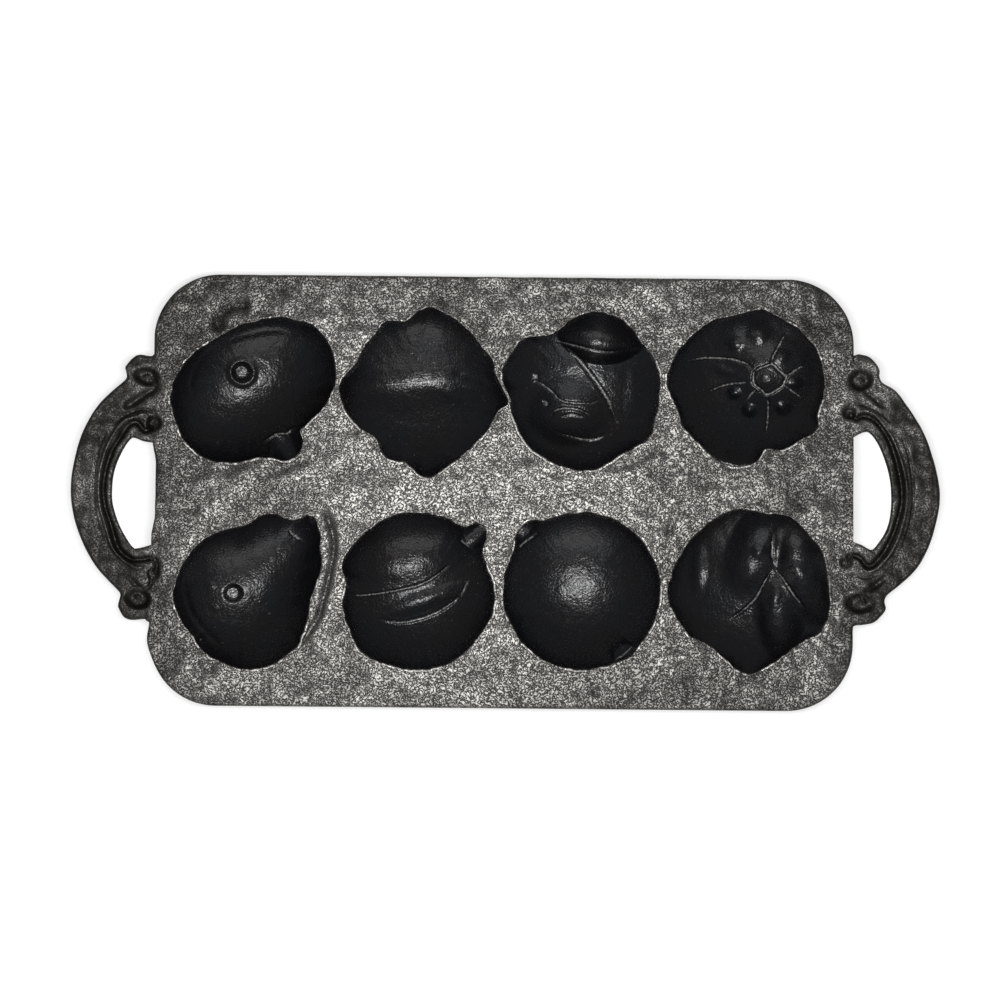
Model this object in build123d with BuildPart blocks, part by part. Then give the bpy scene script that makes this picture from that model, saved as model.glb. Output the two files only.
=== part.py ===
from build123d import *
import os
from collections import namedtuple
from math import cos, radians, sin, sqrt

# Cast iron cornbread pan: a flat plate with eight fruit and vegetable cups hanging below it, and a
# scrolled loop handle at each end. The real pan is one casting, so its regions meet face to face.
# Millimetres. +X runs along the pan to the right handle, +Y to the back row of cups, +Z up.
# The origin is the middle of the outline, level with the flats that the cups stand on.

os.makedirs("parts", exist_ok=True)

# Plate
pan_length = 381.0
plate_length = 308.0
plate_width = 190.0
plate_thickness = 5.0
corner_radius = 21.0
plate_edge_bevel = 1.0

# Cups
cavity_depth = 22.5
cup_wall = 4.0
foot_cut = 0.5
draft_lift = 3.0
web_thickness = 1.8
nub_radius = 6.0
nub_rise = 2.0

# Handles, seen from above: two round arcs, and a round boss where each end joins the plate
handle_thickness = 7.0
handle_radius = 55.3
grip_width = 19.9
window_radius = 40.6
window_half_at_plate = 21.5
window_half_at_grip = 25.0
window_corner = 2.5
boss_radius = 8.7
boss_out = 3.5
boss_half_spacing = 51.5
notch_round = 1.6
handle_edge_bevel = 1.6

# Sunk ornament of the handles: a groove that ends in two hooks, a fine line, and a teardrop on each boss
groove_offset = 4.2
groove_width = 2.0
groove_depth = 1.8
hook_radius = 6.5
hook_start = 45.0
hook_turn = 155.0
hook_eye_radius = 2.6
line_offset = 8.3
line_width = 0.8
line_depth = 0.7
line_half_angle = 30.0
teardrop_radius = 5.6
teardrop_out = 3.0
teardrop_half_spacing = 50.2
teardrop_tail_radius = 0.8
teardrop_tail_out = 11.0
teardrop_tail_half_spacing = 37.5

# Curved stem above the orange, pressed shallowly into the plate
stem_start = (-127.2, 66.5)
stem_middle = (-122.3, 79.0)
stem_end = (-111.8, 79.6)
stem_radius = 2.4
stem_depth = 0.9

# Webs between neighbouring cups: a point on each web's middle, and the way its normal leans
Web = namedtuple("Web", "x y lean")
orange_acorn_web = Web(-73.1, 45.1, 0.0)
acorn_cabbage_web = Web(0.6, 44.9, 26.0)
cabbage_pumpkin_web = Web(70.4, 48.6, 0.0)
pear_melon_web = Web(-74.5, -39.5, 0.0)
melon_apple_web = Web(-1.4, -41.5, 0.0)
apple_pepper_web = Web(71.2, -42.5, 0.0)

# Middles of the cups
orange_centre = (-110.1, 43.8)
acorn_centre = (-34.8, 43.4)
cabbage_centre = (34.0, 44.9)
pumpkin_centre = (106.5, 46.6)
pear_centre = (-111.6, -44.8)
melon_centre = (-36.7, -44.0)
apple_centre = (35.1, -43.3)
pepper_centre = (108.2, -42.6)

# Raised button on the floor of a cup, placed from the middle of the cup
orange_nub = (-4.9, 7.8)
pumpkin_nub = (9.7, 4.2)
pear_nub = (-5.7, -0.8)

# Lobes of the fruits: each is a flattened ball, placed from the middle of its cup, with its half
# length and half width at the rim, the turn of its length from +X, and its depth below the rim
Lobe = namedtuple("Lobe", "x y half_length half_width turn depth", defaults=(0.0, cavity_depth))

orange_body = Lobe(0.0, 0.3, 39.0, 28.8, 38.0)
orange_leaf = Lobe(13.0, -23.5, 10.0, 6.5, 30.0, 8.5)

acorn_body = Lobe(0.0, 3.0, 33.5, 27.5, 0.0, 20.0)
acorn_middle_rib = Lobe(-0.5, -5.0, 37.0, 20.0, 2.0)
acorn_upper_rib = Lobe(1.0, 18.5, 26.5, 15.0, 0.0, 21.5)
acorn_top_rib = Lobe(4.0, 22.5, 16.0, 14.5, 0.0, 20.5)
acorn_bottom_rib = Lobe(1.0, -20.0, 19.0, 17.5, 0.0, 21.0)

cabbage_heart = Lobe(-0.5, -2.0, 33.0, 31.5, 0.0, 20.5)
cabbage_left_leaf = Lobe(-12.5, 4.0, 25.5, 18.0, 38.0)
cabbage_right_leaf = Lobe(12.5, 0.0, 27.0, 20.5, 75.0)
cabbage_top_leaf = Lobe(9.0, 19.5, 17.0, 14.5, -10.0, 21.5)
cabbage_lower_leaf = Lobe(-2.0, -14.5, 27.0, 20.0, -4.0, 22.0)

pumpkin_body = Lobe(-0.5, 0.0, 33.0, 31.5, 0.0, 21.0)

pear_body = Lobe(-2.5, -4.0, 30.0, 29.0, 60.0)
pear_shoulder = Lobe(8.0, 6.0, 28.0, 21.0, 58.0, 22.0)
pear_neck = Lobe(17.5, 18.5, 18.5, 14.0, 62.0, 19.0)
pear_bulge = Lobe(7.5, 20.5, 12.5, 12.5, 40.0, 18.0)
pear_stem = Lobe(24.5, 25.0, 9.0, 6.5, 60.0, 12.0)

melon_body = Lobe(0.0, 0.0, 33.3, 33.0, 0.0, 20.5)
melon_upper_rib = Lobe(-2.0, 15.5, 29.0, 18.5, 14.0)
melon_middle_rib = Lobe(0.5, -4.5, 31.5, 12.5, 22.0)
melon_lower_rib = Lobe(3.0, -17.5, 25.5, 16.5, 18.0)
melon_stem = Lobe(24.0, 23.0, 9.0, 5.5, 50.0, 8.5)

apple_body = Lobe(0.0, 0.0, 34.3, 34.0, 0.0)
apple_stem = Lobe(-20.5, 21.5, 11.0, 6.0, 135.0, 8.5)
apple_leaf = Lobe(20.5, -21.5, 10.0, 5.5, -50.0, 8.5)

pepper_body = Lobe(1.0, 0.5, 33.5, 30.0, 0.0, 20.5)
pepper_left_lobe = Lobe(-11.0, 7.5, 29.0, 23.5, 65.0)
pepper_right_lobe = Lobe(18.5, 5.0, 28.0, 16.5, 95.0)
pepper_lower_lobe = Lobe(1.5, -13.5, 23.0, 20.5, 80.0)

# Ribs of the pumpkin run out from its button: the ray that each lies along, in degrees from +X, how
# far it reaches, and its half length and half width
Rib = namedtuple("Rib", "ray reach half_length half_width")
pumpkin_right_rib = Rib(2.0, 24.5, 11.5, 10.5)
pumpkin_upper_right_rib = Rib(51.0, 26.0, 12.0, 11.5)
pumpkin_top_rib = Rib(112.0, 31.5, 14.5, 17.0)
pumpkin_left_rib = Rib(168.0, 42.5, 20.0, 12.5)
pumpkin_lower_left_rib = Rib(212.0, 42.5, 20.0, 13.5)
pumpkin_bottom_rib = Rib(248.0, 42.0, 19.0, 14.0)
pumpkin_lower_right_rib = Rib(303.0, 31.0, 14.0, 14.0)

# Levels and places that follow from the sizes above
rim_z = cavity_depth + cup_wall - foot_cut
underside_z = rim_z - plate_thickness
plate_end = plate_length / 2
handle_arc_x = pan_length / 2 - handle_radius
window_arc_x = pan_length / 2 - grip_width - window_radius
boss_x = plate_end + boss_out


def rib_lobe(rib):
    """The lobe that makes one rib of the pumpkin."""
    out = rib.reach - rib.half_length
    x = pumpkin_nub[0] + out * cos(radians(rib.ray))
    y = pumpkin_nub[1] + out * sin(radians(rib.ray))
    return Lobe(x, y, rib.half_length, rib.half_width, rib.ray)


orange_lobes = (orange_body, orange_leaf)
acorn_lobes = (acorn_body, acorn_middle_rib, acorn_upper_rib, acorn_top_rib, acorn_bottom_rib)
cabbage_lobes = (cabbage_heart, cabbage_left_leaf, cabbage_right_leaf, cabbage_top_leaf, cabbage_lower_leaf)
pumpkin_lobes = (
    pumpkin_body,
    rib_lobe(pumpkin_right_rib),
    rib_lobe(pumpkin_upper_right_rib),
    rib_lobe(pumpkin_top_rib),
    rib_lobe(pumpkin_left_rib),
    rib_lobe(pumpkin_lower_left_rib),
    rib_lobe(pumpkin_bottom_rib),
    rib_lobe(pumpkin_lower_right_rib),
)
pear_lobes = (pear_body, pear_shoulder, pear_neck, pear_bulge, pear_stem)
melon_lobes = (melon_body, melon_upper_rib, melon_middle_rib, melon_lower_rib, melon_stem)
apple_lobes = (apple_body, apple_stem, apple_leaf)
pepper_lobes = (pepper_body, pepper_left_lobe, pepper_right_lobe, pepper_lower_lobe)

Cup = namedtuple("Cup", "name centre lobes left_web right_web nub")
cups = (
    Cup("orange_cup", orange_centre, orange_lobes, None, orange_acorn_web, orange_nub),
    Cup("acorn_squash_cup", acorn_centre, acorn_lobes, orange_acorn_web, acorn_cabbage_web, None),
    Cup("cabbage_cup", cabbage_centre, cabbage_lobes, acorn_cabbage_web, cabbage_pumpkin_web, None),
    Cup("pumpkin_cup", pumpkin_centre, pumpkin_lobes, cabbage_pumpkin_web, None, pumpkin_nub),
    Cup("pear_cup", pear_centre, pear_lobes, None, pear_melon_web, pear_nub),
    Cup("melon_cup", melon_centre, melon_lobes, pear_melon_web, melon_apple_web, None),
    Cup("apple_cup", apple_centre, apple_lobes, melon_apple_web, apple_pepper_web, None),
    Cup("pepper_cup", pepper_centre, pepper_lobes, apple_pepper_web, None, None),
)


def web_plane(web):
    """The upright plane in the middle of a web, facing +X."""
    lean = radians(web.lean)
    return Plane(origin=(web.x, web.y, 0), z_dir=(cos(lean), sin(lean), 0))


def fruit(cup, grow, web_gap):
    """The fruit of a cup, grown all round, and kept the given gap away from the webs beside it."""
    with BuildPart() as form:
        for lobe in cup.lobes:
            height = lobe.depth + draft_lift + grow
            half_sizes = (lobe.half_length + grow, lobe.half_width + grow, height)
            ball = scale(Sphere(1, mode=Mode.PRIVATE), by=half_sizes, mode=Mode.PRIVATE)
            middle = (cup.centre[0] + lobe.x, cup.centre[1] + lobe.y, rim_z + draft_lift)
            with Locations(Location(middle, (0, 0, lobe.turn))):
                add(ball)
        if cup.left_web:
            split(bisect_by=web_plane(cup.left_web).offset(web_gap), keep=Keep.TOP)
        if cup.right_web:
            split(bisect_by=web_plane(cup.right_web).offset(-web_gap), keep=Keep.BOTTOM)
    return form.part


def floor_z(cup, x, y):
    """Height of the cavity's floor at a point given from the middle of the cup."""
    depths = []
    for lobe in cup.lobes:
        turn = radians(lobe.turn)
        along = ((x - lobe.x) * cos(turn) + (y - lobe.y) * sin(turn)) / lobe.half_length
        across = ((y - lobe.y) * cos(turn) - (x - lobe.x) * sin(turn)) / lobe.half_width
        inside = max(0.0, 1 - along**2 - across**2)
        depths.append((lobe.depth + draft_lift) * sqrt(inside) - draft_lift)
    return rim_z - max(depths)


# Cup shells: the grown fruit less the fruit, from the plate's underside down to the ground flats
cavities = []
for cup in cups:
    cavity = fruit(cup, 0, web_thickness / 2)
    cavities.append(cavity)
    with BuildPart() as shell:
        add(fruit(cup, cup_wall, 0))
        add(cavity, mode=Mode.SUBTRACT)
        split(bisect_by=Plane.XY.offset(underside_z), keep=Keep.BOTTOM)
        split(bisect_by=Plane.XY, keep=Keep.TOP)
        if cup.nub:
            nub_x, nub_y = cup.nub
            half_sizes = (nub_radius, nub_radius, nub_rise)
            button = scale(Sphere(1, mode=Mode.PRIVATE), by=half_sizes, mode=Mode.PRIVATE)
            with Locations((cup.centre[0] + nub_x, cup.centre[1] + nub_y, floor_z(cup, nub_x, nub_y))):
                add(button)
    shell.part.label = cup.name
    export_step(shell.part, f"parts/{cup.name}.step")

# Scroll ornament at one end of the pan, as the solid that is cut from the handle and the plate
with BuildPart() as ornament:
    with BuildSketch(Plane.XY.offset(rim_z)):
        hook_arc = window_radius + groove_offset - hook_radius
        hook_x = window_arc_x + hook_arc * cos(radians(hook_start))
        hook_y = hook_arc * sin(radians(hook_start))
        hook_end = hook_start + hook_turn
        eye_x = hook_x + hook_radius * cos(radians(hook_end))
        eye_y = hook_y + hook_radius * sin(radians(hook_end))
        with BuildLine():
            CenterArc((window_arc_x, 0), window_radius + groove_offset, -hook_start, 2 * hook_start)
            CenterArc((hook_x, hook_y), hook_radius, hook_start, hook_turn)
            CenterArc((hook_x, -hook_y), hook_radius, -hook_start, -hook_turn)
        trace(line_width=groove_width)
        with Locations((eye_x, eye_y), (eye_x, -eye_y)):
            Circle(hook_eye_radius)
    extrude(amount=-groove_depth)
    with BuildSketch(Plane.XY.offset(rim_z)):
        with BuildSketch(mode=Mode.PRIVATE) as teardrop:
            with Locations((plate_end + teardrop_out, teardrop_half_spacing)):
                Circle(teardrop_radius)
            with Locations((plate_end + teardrop_tail_out, teardrop_tail_half_spacing)):
                Circle(teardrop_tail_radius)
            make_hull()
        add(teardrop.sketch)
        mirror(teardrop.sketch, about=Plane.XZ)
    extrude(amount=-groove_depth)
    with BuildSketch(Plane.XY.offset(rim_z)):
        with BuildLine():
            CenterArc((window_arc_x, 0), window_radius + line_offset, -line_half_angle, 2 * line_half_angle)
        trace(line_width=line_width)
    extrude(amount=-line_depth)

# Top plate with the mouths of the eight cups
with BuildPart() as top_plate:
    with BuildSketch(Plane.XY.offset(underside_z)):
        RectangleRounded(plate_length, plate_width, corner_radius)
    extrude(amount=plate_thickness)
    chamfer(top_plate.edges().group_by(Axis.Z)[0], length=plate_edge_bevel)
    for cavity in cavities:
        add(cavity, mode=Mode.SUBTRACT)
    add(ornament.part, mode=Mode.SUBTRACT)
    mirror(ornament.part, about=Plane.YZ, mode=Mode.SUBTRACT)
    with BuildLine(Plane.XY.offset(rim_z + stem_radius - stem_depth)) as stem:
        ThreePointArc(stem_start, stem_middle, stem_end)
    with BuildSketch(Plane(origin=stem.line @ 0, z_dir=stem.line % 0)):
        Circle(stem_radius)
    sweep(mode=Mode.SUBTRACT)
top_plate.part.label = "top_plate"
export_step(top_plate.part, "parts/top_plate.step")

# Right handle: an open loop from the plate's end, with the scroll ornament sunk into its top
with BuildPart() as right_handle:
    with BuildSketch(Plane.XY.offset(rim_z - handle_thickness)) as loop:
        with Locations((handle_arc_x, 0)):
            Circle(handle_radius)
        with Locations((boss_x, boss_half_spacing), (boss_x, -boss_half_spacing)):
            Circle(boss_radius)
        with Locations((plate_end, 0)):
            Rectangle(pan_length, plate_width, align=(Align.MIN, Align.CENTER), mode=Mode.INTERSECT)
        fillet(loop.vertices().group_by(Axis.X)[-1], radius=notch_round)
        with BuildSketch(mode=Mode.PRIVATE) as window:
            with BuildLine():
                window_end_x = window_arc_x + sqrt(window_radius**2 - window_half_at_grip**2)
                far = (window_end_x, window_half_at_grip)
                near = (window_end_x, -window_half_at_grip)
                ThreePointArc(near, (window_arc_x + window_radius, 0), far)
                Polyline(far, (plate_end, window_half_at_plate), (plate_end, -window_half_at_plate), near)
            make_face()
            fillet(window.vertices().group_by(Axis.X)[-1], radius=window_corner)
        add(window.sketch, mode=Mode.SUBTRACT)
    extrude(amount=handle_thickness)
    rims = right_handle.edges().filter_by(Plane.XY)
    clear_of_plate = rims.filter_by(lambda rim: rim.center().X > plate_end + handle_edge_bevel / 2)
    chamfer(clear_of_plate, length=handle_edge_bevel)
    add(ornament.part, mode=Mode.SUBTRACT)
right_handle.part.label = "right_handle"
export_step(right_handle.part, "parts/right_handle.step")

# Left handle: the same loop at the other end
with BuildPart() as left_handle:
    mirror(right_handle.part, about=Plane.YZ)
left_handle.part.label = "left_handle"
export_step(left_handle.part, "parts/left_handle.step")
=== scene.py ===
from collections import namedtuple

import bpy
import numpy as np
from mathutils import Matrix, Vector


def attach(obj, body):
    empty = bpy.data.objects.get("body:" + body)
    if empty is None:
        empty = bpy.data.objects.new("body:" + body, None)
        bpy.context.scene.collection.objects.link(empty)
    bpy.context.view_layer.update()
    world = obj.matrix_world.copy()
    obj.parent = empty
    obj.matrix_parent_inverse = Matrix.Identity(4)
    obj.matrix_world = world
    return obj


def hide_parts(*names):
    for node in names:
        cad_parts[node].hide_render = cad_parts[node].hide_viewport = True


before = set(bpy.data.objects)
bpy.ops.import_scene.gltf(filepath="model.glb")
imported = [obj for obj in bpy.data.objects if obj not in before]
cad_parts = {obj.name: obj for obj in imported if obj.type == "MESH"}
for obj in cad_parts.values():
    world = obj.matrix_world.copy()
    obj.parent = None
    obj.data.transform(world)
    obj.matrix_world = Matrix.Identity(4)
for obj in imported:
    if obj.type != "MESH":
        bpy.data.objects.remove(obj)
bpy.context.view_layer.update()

# Lengths below are millimetres, +X to the right handle, +Y to the back row, +Z up. A mesh is turned to
# metres when it is made.

# Cups
# Each cup is half a fruit or vegetable, hollow side up, in grey iron cast in one with the plate. Inside it
# is worn smooth, and years of oil baked on to it have left it near black with a soft gloss. Outside, and
# on the lip round its mouth, it is bare, as the sand left it.

# The spokes and rings of its mesh, the heights and thicknesses of the casting, the lip's steps outwards
# from the mouth, with how far each stands over the deck and how much of the oil film has crept on to it,
# and the fillet between the plate and the belly
cup_spokes = 440
cup_rings = 92
belly_rings = 30
rim_z = 26.0
deck_level = 25.05
plate_underside = 21.0
belly_top = plate_underside + 0.3
wall = 4.0
draft_lift = 3.0
millimetre = 0.001
crease_round = 0.35
outside_round = 1.2
web_half = 0.9
cell_gap = 0.03
lip_drop = 0.6
lip_mean = 0.8
lip_lean = 0.7
lip_out = (0.12, 0.3, 0.6, 0.95, 1.35, 1.8, 1.9)
lip_rise = (-0.2, 0.02, 0.12, 0.12, 0.04, -0.2, -1.6)
lip_film = (0.42, 0.28, 0.08, -0.12, -0.3, -0.5, -0.5)
fillet_out = (1.5, 0.7, 0.2, 0.0)
fillet_drop = (0.0, 0.6, 1.4, 2.2)

# The unevenness that the sand left: rows of a height, a wavelength and a seed
deck_waves = ((0.12, 60, 4), (0.22, 24, 5), (0.16, 11, 6), (0.1, 6, 7))
mouth_waves = ((0.15, 9, 21), (0.08, 4, 22))
hollow_waves = ((0.05, 16, 11), (0.03, 5, 12))
lip_waves = ((0.7, 12, 31), (0.4, 3, 32))

# A lobe is a share of the fruit's body. A line is a ridge, or with a negative rise a groove. A dish is a
# hollow, or with a positive rise a button. All lie about the cup's middle, with turns in degrees. A cup's
# outline is its mouth, as pairs of a turn and a radius, and each of its forms is a softness and its lobes.
Lobe = namedtuple("Lobe", "x y half_length half_width turn depth", defaults=(0, 22.0))
Line = namedtuple("Line", "points half_width rise taper run", defaults=(0.25, 0.0))
Dish = namedtuple("Dish", "x y half_length half_width turn rise edge", defaults=(0.45,))
Cup = namedtuple("Cup", "name node centre outline forms lines dishes")

orange = Cup(
    "orange_hollow",
    "orange_cup",
    (-110.1, 43.8),
    "8,36.4 43,38.8 67,34.7 93,29.9 129,28.0 149,30.7 185,36.2 198,36.6 219,37.2 236,36.4 250,33.9 275,29.6 "
    "286,31.1 300,34.8 314,31.6 320,27.0 349,32.0",
    ((1.0, (Lobe(-0.5, 1.6, 39, 28.8, 38, 22.0),)), (0.25, (Lobe(10, -17, 19, 8.5, -60, 12),))),
    (
        Line("-27.9,-1.6 -27.9,6.4 -23,15.4 -13,22.6 -1,26.5 9.1,27.8 17.3,26.1", 1.3, 0.7),
        Line("22.1,-15.2 17,-16.1 14.5,-18.3 9.9,-18.4 5.9,-20.9 3,-21.9", 0.61, 1.08),
    ),
    (Dish(-6.3, 9.8, 5.4, 5.3, 0, 3.0, 0.6), Dish(-6.3, 9.8, 7.8, 7.8, 0, -0.9, 0.42)),
)
acorn_squash = Cup(
    "acorn_squash_hollow",
    "acorn_squash_cup",
    (-34.8, 43.4),
    "13,32.5 28,32.8 40,32.0 56,33.4 74,35.5 88,37.5 105,32.7 118,35.2 135,33.3 158,32.9 172,36.5 179,37.4 "
    "200,34.2 223,29.5 241,33.0 256,32.0 272,37.6 285,34.3 311,31.6 333,32.3 346,33.2 356,37.5",
    ((2.0, (Lobe(-0.5, 0, 37, 36, 0, 19.4), Lobe(2, 18, 22, 19, 0, 16))),),
    (
        Line("38,2 29.8,4.7 19.6,7 11.6,7.2 4.6,7.1 -8.4,6 -20.4,4.7 -28.3,3.9 -38,3", 10.0, -3.2, 0.06),
        Line("-22.4,4.7 -8.4,6 4.6,7.1 12.6,7.2", 0.5, 0.12, 0.15),
        Line("-30.2,9.1 -18.4,9.2 -8.4,9.6", 1.4, 0.3, 0.4),
        Line("11.6,10.9 19.6,8.5 29.8,5.1", 1.4, 0.6),
    ),
    (Dish(-4.3, 28.4, 6, 4, 0, 0.7, 1.0), Dish(11.6, 1, 9, 4.5, 150, -0.5, 1.0)),
)
cabbage = Cup(
    "cabbage_hollow",
    "cabbage_cup",
    (34.0, 44.9),
    "5,34.7 26,35.0 42,34.1 60,36.2 75,35.6 88,33.8 101,30.7 113,27.9 126,29.3 138,33.8 155,34.4 167,35.5 "
    "189,31.3 208,32.1 224,33.2 242,33.6 263,34.7 282,35.0 298,33.1 314,34.3 324,36.2 342,34.6",
    (
        (1.5, (Lobe(-0.5, -2, 33, 32.5, 0, 16.8), Lobe(-4, -7, 22, 19, 0, 21.0))),
        (0.3, (Lobe(7, 22, 19, 12.5, -8, 20.6),)),
    ),
    (
        Line("-14.7,23.8 -9.7,22.6 -2.6,21.7 4.4,20.4 10.4,19.3 15.3,19.2 21.3,20.8", 0.61, 0.72),
        Line("16.3,-14.4 13.4,-5.1 9.4,2 3.4,10 -3.6,17.9 -11.7,23", 1.0, 1.0, 0.2),
        Line("18.3,19.5 19.9,6.7 18.4,-6.2 14.3,-18.5", 2.4, 0.2),
        Line("-19.7,8.8 -19.6,5.4", 1.15, 0.8, 0.3),
        Line("-16.6,-2.6 -15,-4.1 -13.8,-5.4", 1.15, 0.8, 0.3),
        Line("-20.6,4.2 -18.6,4.8 -12.6,1 -7.6,-3 3.4,-3.9 9.4,-2", 0.54, 0.72),
        Line("-13.6,-11.2 -10.6,-7.1 -5.6,-6 0.4,-7 5.4,-10", 0.54, 0.72),
        Line("-8.6,-10.1 -3.6,-8.8 2.4,-10", 0.5, 0.43),
        Line("-11.6,-16.3 -1.6,-19.8 6.3,-20.4 12.3,-17.4", 0.61, 0.65),
    ),
    (Dish(24, -2, 5, 17, 0, -0.5, 1.0),),
)
pumpkin = Cup(
    "pumpkin_hollow",
    "pumpkin_cup",
    (106.5, 46.6),
    "5,34.5 27,35.2 44,35.0 60,34.3 79,35.2 98,32.4 113,32.9 134,32.9 154,33.6 177,34.5 196,31.2 214,32.3 "
    "231,31.8 251,34.1 265,34.5 279,32.0 288,28.2 301,31.1 317,32.9 330,35.8 342,33.4",
    ((1.2, (Lobe(1.5, 3, 33.5, 33, 0, 17.2), Lobe(8, 6, 24, 23, 0, 21.2), Lobe(1, 16, 20, 18, 0, 16.6))),),
    (
        Line("5.1,9.9 12.5,12.5 15.8,9.9 18.8,7.1 18.2,4.8 16.8,2.5 10.8,-0.8 7.8,1.7 5.1,4 4.6,7.1 5.1,9.9",
             0.62, 0.9, 0.02),
        Line("5.1,9.9 1.3,12.8 -6.7,14.5 -18.9,14.2 -28.3,11.1", 0.58, 0.75),
        Line("12.5,12.5 13.2,15.8 16,21.5 19.6,27.8", 0.6, 0.85),
        Line("18.8,7.1 22.1,9.1 28.7,13.1", 0.6, 0.8),
        Line("17.8,3.9 21.2,0.7 28.8,-5.7", 0.5, 0.5),
        Line("10.8,-0.8 11,-6 10.4,-14 9.4,-20", 0.6, 0.8),
        Line("4.8,5.1 -1.6,4.1 -9.7,2.4 -20,-2.5", 0.5, 0.58),
        Line("6.8,2.5 3.4,-1.1 0.6,-4.8", 0.5, 0.3),
    ),
    (
        Dish(6.8, 26.6, 7.2, 6.8, 0, -2.7, 1.0),
        Dish(-4, 21.5, 5.5, 4, 10, -1.3, 1.0),
        Dish(-9, 9.6, 7, 3.2, 172, -1.0, 1.0),
        Dish(-4.2, -0.6, 4.2, 3.8, 30, -2.1, 1.0),
        Dish(2.6, -8.4, 4.2, 4.2, 0, -2.5, 1.0),
        Dish(17.6, -7.2, 4.4, 4.4, 0, -2.1, 1.0),
        Dish(23.2, 4, 3.6, 3.4, 0, -1.6, 1.0),
        Dish(17.6, 16, 4.2, 4.2, 0, -1.4, 1.0),
        Dish(10.8, 5.9, 5, 5, 0, -0.7, 0.9),
    ),
)
pear = Cup(
    "pear_hollow",
    "pear_cup",
    (-111.6, -44.8),
    "23,34.9 31,37.1 46,43.1 52,42.5 55,38.7 62,35.7 71,36.0 81,33.1 93,28.7 113,28.6 131,29.5 149,29.9 "
    "166,30.5 183,32.2 196,31.6 218,30.7 234,32.1 254,32.9 273,34.1 294,33.4 314,32.0 335,28.9 357,28.3",
    (
        (
            2.0,
            (
                Lobe(-2.5, -2, 30, 30, 60, 21),
                Lobe(6, 6, 29, 22, 58, 20.2),
                Lobe(16, 17.5, 19, 15, 62, 17),
            ),
        ),
        (0.25, (Lobe(20, 22.5, 15, 7.5, 48, 9),)),
    ),
    (
        Line("-26.9,8.7 -27.9,0.7 -25,-9.3 -18,-18.3 -10.9,-24.3", 1.3, 0.7),
        Line("16.4,28.4 19.9,25.1 25,22.4", 0.54, 0.65),
    ),
    (
        Dish(-7.4, 0, 4.9, 4.8, 0, 1.8, 0.58),
        Dish(-7.4, 0, 15, 15, 0, -0.5, 1.0),
        Dish(-20.8, -21.4, 4.5, 2.4, 60, 1.3, 0.9),
        Dish(-17.5, 3, 3.2, 2.6, 30, -0.4, 1.0),
        Dish(-15, -7, 3, 2.4, 0, -0.35, 1.0),
    ),
)
melon = Cup(
    "melon_hollow",
    "melon_cup",
    (-36.7, -44.0),
    "22,31.9 33,33.4 41,39.3 50,39.6 54,34.8 67,34.2 90,34.4 109,34.9 125,34.3 145,34.8 161,35.0 177,31.4 "
    "191,33.3 208,34.0 228,36.0 247,34.6 268,34.3 289,34.3 308,33.8 327,32.9 343,33.9 358,33.3",
    (
        (
            0.6,
            (
                Lobe(0, 0, 33.6, 33.4, 0, 20.6),
                Lobe(-3, 11, 30, 22, 14, 21.4),
                Lobe(2, -3, 30, 11, 20, 21.8),
            ),
        ),
        (0.25, (Lobe(16, 16, 23, 7, 45, 9),)),
    ),
    (
        Line("-31.2,-2 -24.3,-1.5 -15.4,-0.1 -0.5,3.4 7.5,7.6 13.6,12.9", 0.54, 0.86, 0.15),
        Line("-18.4,-11.2 -10.4,-13.1 -3.4,-12.5 5.6,-9.7 13.6,-5.1 18.6,-0.2", 0.61, 0.86, 0.3),
        Line("17.6,-2.1 20.2,1.8 22.1,6.8", 0.54, 0.5),
        Line("17.2,24.1 20.2,21.6 24.8,18", 0.54, 0.72),
    ),
    (),
)
apple = Cup(
    "apple_hollow",
    "apple_cup",
    (35.1, -43.3),
    "0,34.3 22,34.3 45,34.3 68,34.3 90,34.3 108,34.3 118,35.0 126,37.8 134,38.6 141,37.4 148,34.8 158,34.3 "
    "180,34.3 202,34.3 225,34.3 248,34.3 270,34.3 288,34.3 299,34.7 306,35.6 315,34.5 338,34.3",
    (
        (0.5, (Lobe(-1.8, 2.2, 34.3, 34.2, 0, 22.4),)),
        (0.25, (Lobe(-15.5, 15.5, 24, 8, 135, 8),)),
        (0.25, (Lobe(12.5, -18, 14.5, 7, -55, 7),)),
    ),
    (
        Line("-29.4,17.3 -24.8,21.9 -16.8,27.5", 0.54, 0.5),
        Line("13.2,-30.6 18.7,-27.6 24.2,-21.6", 0.5, 0.36),
    ),
    (),
)
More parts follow.
